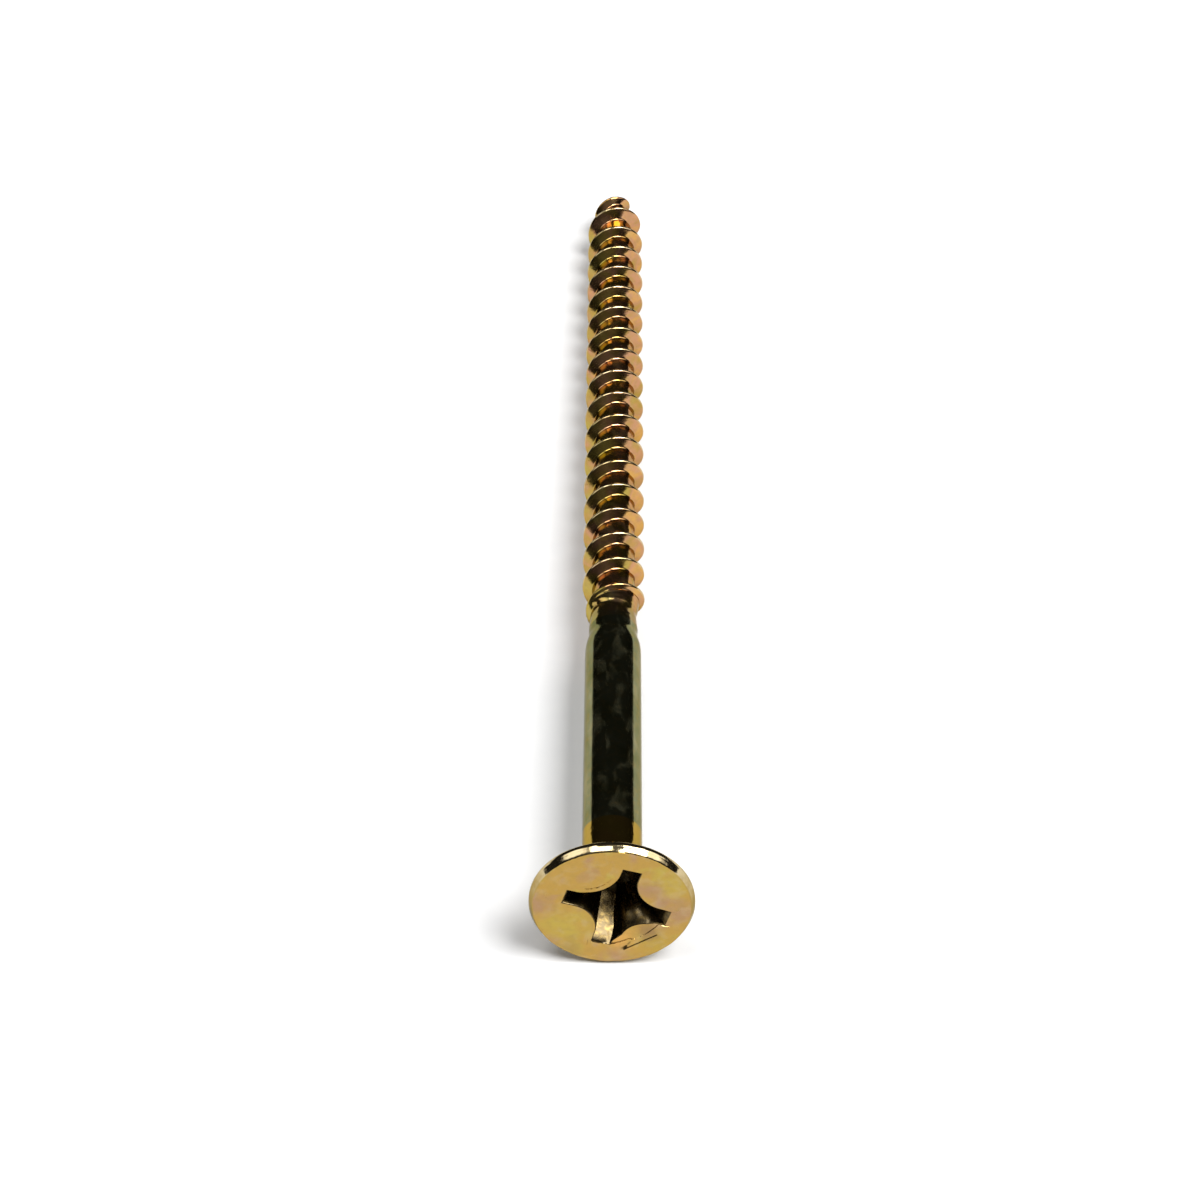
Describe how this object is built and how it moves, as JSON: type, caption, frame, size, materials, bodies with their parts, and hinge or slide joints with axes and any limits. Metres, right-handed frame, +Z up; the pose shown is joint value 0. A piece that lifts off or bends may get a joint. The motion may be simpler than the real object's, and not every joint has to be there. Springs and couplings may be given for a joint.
{
  "type": "wood screw",
  "caption": "Countersunk wood screw with a cross recess, plain shank, narrowed waist, right-hand coarse thread and gimlet point, yellow zinc plated.",
  "frame": {"origin": "centre of the head's flat face, on the screw's axis", "axes": "+Y along the screw's axis from the head's face to the point; +Z up with the screw lying on its side"},
  "size_m": [0.0084, 0.0635, 0.0084],
  "materials": {
    "yellow_zinc_steel": "steel with yellow-passivated zinc plating, semi-gloss, faintly iridescent"
  },
  "bodies": {
    "root": {"head": "yellow_zinc_steel", "shank": "yellow_zinc_steel", "neck": "yellow_zinc_steel", "thread": "yellow_zinc_steel"}
  },
  "joints": []
}
